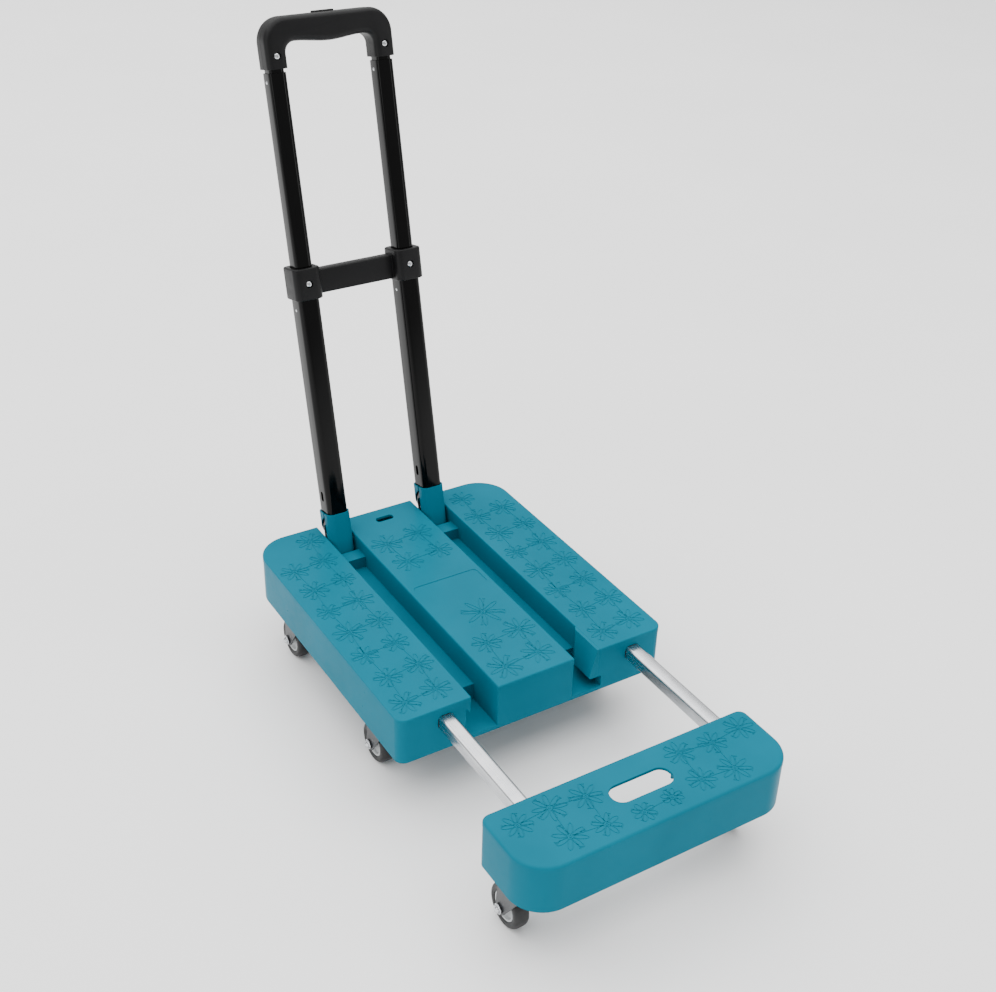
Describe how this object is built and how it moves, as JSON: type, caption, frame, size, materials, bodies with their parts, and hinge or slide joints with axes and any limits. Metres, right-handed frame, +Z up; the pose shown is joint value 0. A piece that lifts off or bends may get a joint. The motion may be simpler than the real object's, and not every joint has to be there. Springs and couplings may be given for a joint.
{
  "type": "folding platform cart",
  "caption": "Folding platform cart: teal moulded deck and pull-out front unit on swivel casters, with a black telescoping handle that folds over the deck.",
  "frame": {"origin": "middle of the bounding box footprint, on the floor under the wheels", "axes": "+X to the right of someone who stands in front of the cart and looks at it from the front unit, +Y from the front unit towards the handle, +Z up"},
  "size_m": [0.35, 0.7713, 0.7499],
  "materials": {
    "teal_plastic": "satin moulded",
    "black_plastic": "fine moulded texture",
    "black_painted_tube": "gloss",
    "chrome_steel": "polished",
    "plated_steel": "zinc plated",
    "grey_painted_steel": "satin",
    "white_plastic": "semi-gloss",
    "black_tyre": "matt"
  },
  "bodies": {
    "deck": {"deck": "teal_plastic", "pole_foot_left": "grey_painted_steel", "pole_foot_right": "grey_painted_steel", "caster_plate_front_left": "plated_steel", "caster_plate_front_right": "plated_steel", "caster_plate_rear_left": "plated_steel", "caster_plate_rear_right": "plated_steel"},
    "front_unit": {"front_unit": "teal_plastic", "slide_tube_left": "chrome_steel", "slide_tube_right": "chrome_steel", "tube_end_plug_left": "black_plastic", "tube_end_plug_right": "black_plastic", "caster_plate_unit_left": "plated_steel", "caster_plate_unit_right": "plated_steel"},
    "handle_lower": {"handle_bracket": "black_plastic", "lower_tube_left": "black_painted_tube", "lower_tube_right": "black_painted_tube", "hinge_pin_left": "chrome_steel", "hinge_pin_right": "chrome_steel", "bracket_screw_left": "chrome_steel", "bracket_screw_right": "chrome_steel"},
    "handle_mid": {"mid_tube_left": "black_painted_tube", "mid_tube_right": "black_painted_tube"},
    "handle_top": {"grip_front_shell": "black_plastic", "grip_rear_shell": "black_plastic", "inner_tube_left": "black_painted_tube", "inner_tube_right": "black_painted_tube", "grip_screw_left": "chrome_steel", "grip_screw_right": "chrome_steel"},
    "release": {"grip_button": "black_plastic", "release_bar": "plated_steel", "release_rod_left": "plated_steel", "release_rod_right": "plated_steel"},
    "sleeve_left": {"sleeve_left": "teal_plastic"},
    "sleeve_right": {"sleeve_right": "teal_plastic"},
    "caster_unit_left": {"caster_fork_unit_left": "grey_painted_steel", "axle_bolt_unit_left": "chrome_steel"},
    "wheel_unit_left": {"wheel_hub_unit_left": "white_plastic", "wheel_tyre_unit_left": "black_tyre"},
    "caster_unit_right": {"caster_fork_unit_right": "grey_painted_steel", "axle_bolt_unit_right": "chrome_steel"},
    "wheel_unit_right": {"wheel_hub_unit_right": "white_plastic", "wheel_tyre_unit_right": "black_tyre"},
    "caster_front_left": {"caster_fork_front_left": "grey_painted_steel", "axle_bolt_front_left": "chrome_steel"},
    "wheel_front_left": {"wheel_hub_front_left": "white_plastic", "wheel_tyre_front_left": "black_tyre"},
    "caster_front_right": {"caster_fork_front_right": "grey_painted_steel", "axle_bolt_front_right": "chrome_steel"},
    "wheel_front_right": {"wheel_hub_front_right": "white_plastic", "wheel_tyre_front_right": "black_tyre"},
    "caster_rear_left": {"caster_fork_rear_left": "grey_painted_steel", "axle_bolt_rear_left": "chrome_steel"},
    "wheel_rear_left": {"wheel_hub_rear_left": "white_plastic", "wheel_tyre_rear_left": "black_tyre"},
    "caster_rear_right": {"caster_fork_rear_right": "grey_painted_steel", "axle_bolt_rear_right": "chrome_steel"},
    "wheel_rear_right": {"wheel_hub_rear_right": "white_plastic", "wheel_tyre_rear_right": "black_tyre"}
  },
  "joints": [
    {"name": "unit_slide", "type": "slide", "parent": "deck", "child": "front_unit", "axis": [0, 1, 0], "range_m": [0, 0.158]},
    {"name": "handle_fold", "type": "hinge", "parent": "deck", "child": "handle_lower", "pos_m": [0, 0.23519, 0.136], "axis": [1, 0, 0], "range_deg": [0, 98]},
    {"name": "sleeve_left_lift", "type": "slide", "parent": "handle_lower", "child": "sleeve_left", "axis": [0, 0.2164, 0.9763], "range_m": [0, 0.03]},
    {"name": "sleeve_right_lift", "type": "slide", "parent": "handle_lower", "child": "sleeve_right", "axis": [0, 0.2164, 0.9763], "range_m": [0, 0.03]},
    {"name": "mid_slide", "type": "slide", "parent": "handle_lower", "child": "handle_mid", "axis": [0, -0.2164, -0.9763], "range_m": [0, 0.221]},
    {"name": "top_slide", "type": "slide", "parent": "handle_mid", "child": "handle_top", "axis": [0, -0.2164, -0.9763], "range_m": [-0.2, 0]},
    {"name": "button_press", "type": "slide", "parent": "handle_top", "child": "release", "axis": [0, -0.2164, -0.9763], "range_m": [0, 0.003], "stiffness_N_per_m": 1500, "springref_m": -0.002},
    {"name": "swivel_unit_left", "type": "hinge", "parent": "front_unit", "child": "caster_unit_left", "pos_m": [-0.147, -0.33431, 0.074], "axis": [0, 0, 1], "continuous": true},
    {"name": "spin_unit_left", "type": "hinge", "parent": "caster_unit_left", "child": "wheel_unit_left", "pos_m": [-0.147, -0.31631, 0.0255], "axis": [1, 0, 0], "continuous": true},
    {"name": "swivel_unit_right", "type": "hinge", "parent": "front_unit", "child": "caster_unit_right", "pos_m": [0.135, -0.33431, 0.074], "axis": [0, 0, 1], "continuous": true},
    {"name": "spin_unit_right", "type": "hinge", "parent": "caster_unit_right", "child": "wheel_unit_right", "pos_m": [0.135, -0.31631, 0.0255], "axis": [1, 0, 0], "continuous": true},
    {"name": "swivel_front_left", "type": "hinge", "parent": "deck", "child": "caster_front_left", "pos_m": [-0.148, -0.04931, 0.074], "axis": [0, 0, 1], "continuous": true},
    {"name": "spin_front_left", "type": "hinge", "parent": "caster_front_left", "child": "wheel_front_left", "pos_m": [-0.148, -0.03131, 0.0255], "axis": [1, 0, 0], "continuous": true},
    {"name": "swivel_front_right", "type": "hinge", "parent": "deck", "child": "caster_front_right", "pos_m": [0.148, -0.04931, 0.074], "axis": [0, 0, 1], "continuous": true},
    {"name": "spin_front_right", "type": "hinge", "parent": "caster_front_right", "child": "wheel_front_right", "pos_m": [0.148, -0.03131, 0.0255], "axis": [1, 0, 0], "continuous": true},
    {"name": "swivel_rear_left", "type": "hinge", "parent": "deck", "child": "caster_rear_left", "pos_m": [-0.148, 0.17669, 0.074], "axis": [0, 0, 1], "continuous": true},
    {"name": "spin_rear_left", "type": "hinge", "parent": "caster_rear_left", "child": "wheel_rear_left", "pos_m": [-0.148, 0.19469, 0.0255], "axis": [1, 0, 0], "continuous": true},
    {"name": "swivel_rear_right", "type": "hinge", "parent": "deck", "child": "caster_rear_right", "pos_m": [0.148, 0.17669, 0.074], "axis": [0, 0, 1], "continuous": true},
    {"name": "spin_rear_right", "type": "hinge", "parent": "caster_rear_right", "child": "wheel_rear_right", "pos_m": [0.148, 0.19469, 0.0255], "axis": [1, 0, 0], "continuous": true}
  ],
  "couplings": [
    {"joint": "sleeve_left_lift", "follows": "handle_fold", "m_per_rad": 0.0175},
    {"joint": "sleeve_right_lift", "follows": "handle_fold", "m_per_rad": 0.0175}
  ]
}
